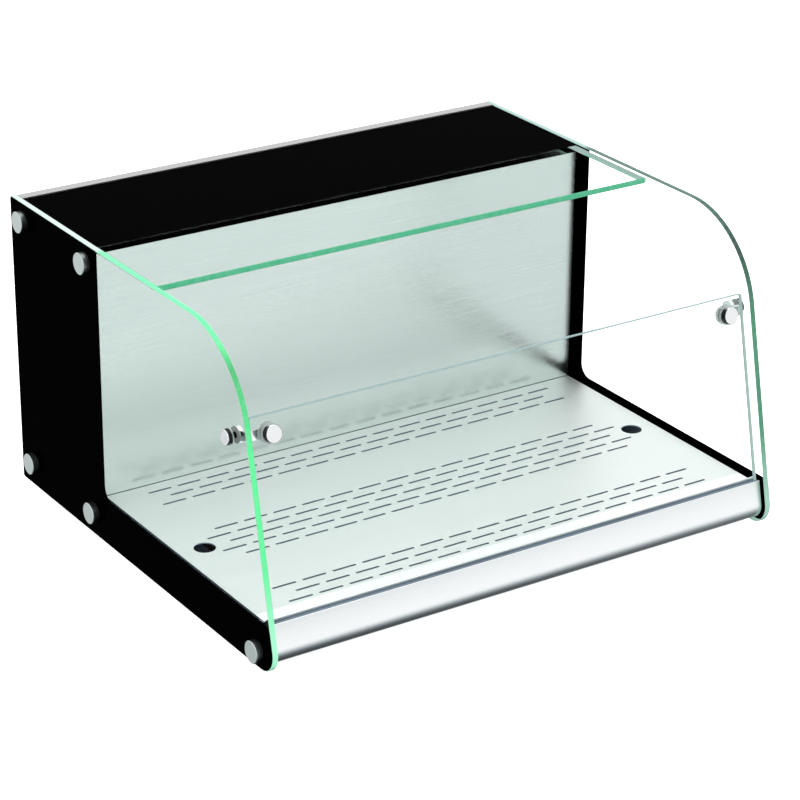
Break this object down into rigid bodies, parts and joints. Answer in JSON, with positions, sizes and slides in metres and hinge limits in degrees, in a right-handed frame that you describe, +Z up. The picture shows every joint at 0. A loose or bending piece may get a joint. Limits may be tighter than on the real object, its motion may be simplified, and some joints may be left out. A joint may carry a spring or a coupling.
{
  "type": "hot food display case",
  "caption": "Countertop hot food display case: curved side glasses with black borders, top glass, low leaning front pane, perforated lift-out deck and a rear service compartment.",
  "frame": {"origin": "on the worktop under the feet, in the middle of the width and the depth", "axes": "+Z up, the front with the leaning pane faces -Y, +X to the right seen from the front"},
  "size_m": [0.616, 0.522, 0.328],
  "materials": {
    "clear_glass": "clear float glass, ground and polished edges with a green cast",
    "black_enamel": "opaque black enamel film, low gloss",
    "clear_silicone": "clear silicone bead",
    "seal_rubber": "black rubber seal",
    "satin_steel": "satin turned stainless steel",
    "polished_steel": "polished stainless steel",
    "clear_plastic": "clear plastic washers",
    "anodised_aluminium": "satin anodised aluminium",
    "wall_steel": "horizontally brushed stainless steel, semi-mirror",
    "deck_steel": "fine brushed stainless steel",
    "tray_steel": "plain stainless sheet, heat tinted near the heater",
    "galvanised_sheet": "galvanised steel sheet with faint spangle",
    "black_powder": "fine textured black powder coat",
    "heater_sheath": "oxidised heater sheath",
    "mineral_wool": "mineral wool slab",
    "foam_tape": "black foam tape",
    "black_plastic": "moulded black plastic",
    "dial_plate": "printed dial ring",
    "rocker_plastic": "gloss black plastic",
    "lamp_lens": "translucent orange-red lens",
    "reset_plastic": "red plastic",
    "motor_paint": "dark grey motor paint",
    "contact_brass": "nickelled brass",
    "copper_bulb": "copper bulb",
    "terminal_plastic": "ivory thermoset",
    "foot_rubber": "black rubber",
    "zinc_screw": "zinc plated steel"
  },
  "bodies": {
    "case": {"side_glass_right": "clear_glass", "side_glass_left": "clear_glass", "border_print_right": "black_enamel", "border_print_left": "black_enamel", "top_glass": "clear_glass", "top_print": "black_enamel", "silicone_seams": "clear_silicone", "front_pane": "clear_glass", "pane_gasket": "seal_rubber", "front_profile": "anodised_aluminium", "cap_bolts_right": "satin_steel", "cap_bolts_left": "satin_steel", "cap_washers": "seal_rubber", "glass_gaskets": "seal_rubber", "connector_arm_right": "polished_steel", "connector_arm_left": "polished_steel", "connector_pane_bolts": "polished_steel", "connector_side_bolts": "polished_steel", "connector_washers": "clear_plastic", "cheek_right": "black_powder", "cheek_left": "black_powder", "back_wall": "wall_steel", "wall_insulation": "mineral_wool", "top_bearer": "galvanised_sheet", "bonding_tape": "foam_tape", "rear_rail": "anodised_aluminium", "chassis_base": "galvanised_sheet", "base_insulation": "mineral_wool", "plenum_tray": "tray_steel", "heater_element": "heater_sheath", "heater_supports": "tray_steel", "blower_housing": "galvanised_sheet", "blower_motor": "motor_paint", "sensor_bulb": "copper_bulb", "sensor_clips": "tray_steel", "rear_panel": "black_powder", "rear_panel_screws": "zinc_screw", "thermostat_body": "black_plastic", "thermostat_dial": "dial_plate", "rocker_frame": "black_plastic", "pilot_body": "satin_steel", "pilot_lens": "lamp_lens", "cutout_body": "black_plastic", "inlet_body": "black_plastic", "inlet_pins": "contact_brass", "inlet_screws": "zinc_screw", "terminal_block": "terminal_plastic", "foot_screws": "zinc_screw", "foot_rear_left": "foot_rubber", "foot_front_left": "foot_rubber", "foot_rear_right": "foot_rubber", "foot_front_right": "foot_rubber"},
    "deck": {"deck_plate": "deck_steel"},
    "knob": {"thermostat_knob": "black_plastic"},
    "rocker": {"rocker_key": "rocker_plastic"},
    "reset": {"reset_button": "reset_plastic"},
    "impeller": {"blower_impeller": "tray_steel"}
  },
  "joints": [
    {"name": "deck_lift", "type": "slide", "parent": "case", "child": "deck", "axis": [0, 0, 1], "range_m": [0, 0.03]},
    {"name": "knob_turn", "type": "hinge", "parent": "case", "child": "knob", "pos_m": [-0.19, 0.253, 0.213], "axis": [0, -1, 0], "range_deg": [0, 270]},
    {"name": "rocker_tip", "type": "hinge", "parent": "case", "child": "rocker", "pos_m": [-0.12, 0.235, 0.213], "axis": [-1, 0, 0], "range_deg": [0, 18]},
    {"name": "reset_press", "type": "slide", "parent": "case", "child": "reset", "axis": [0, -1, 0], "range_m": [0, 0.003], "stiffness_N_per_m": 300},
    {"name": "blower_spin", "type": "hinge", "parent": "case", "child": "impeller", "pos_m": [-0.02, 0.129, 0.054], "axis": [1, 0, 0], "continuous": true}
  ]
}
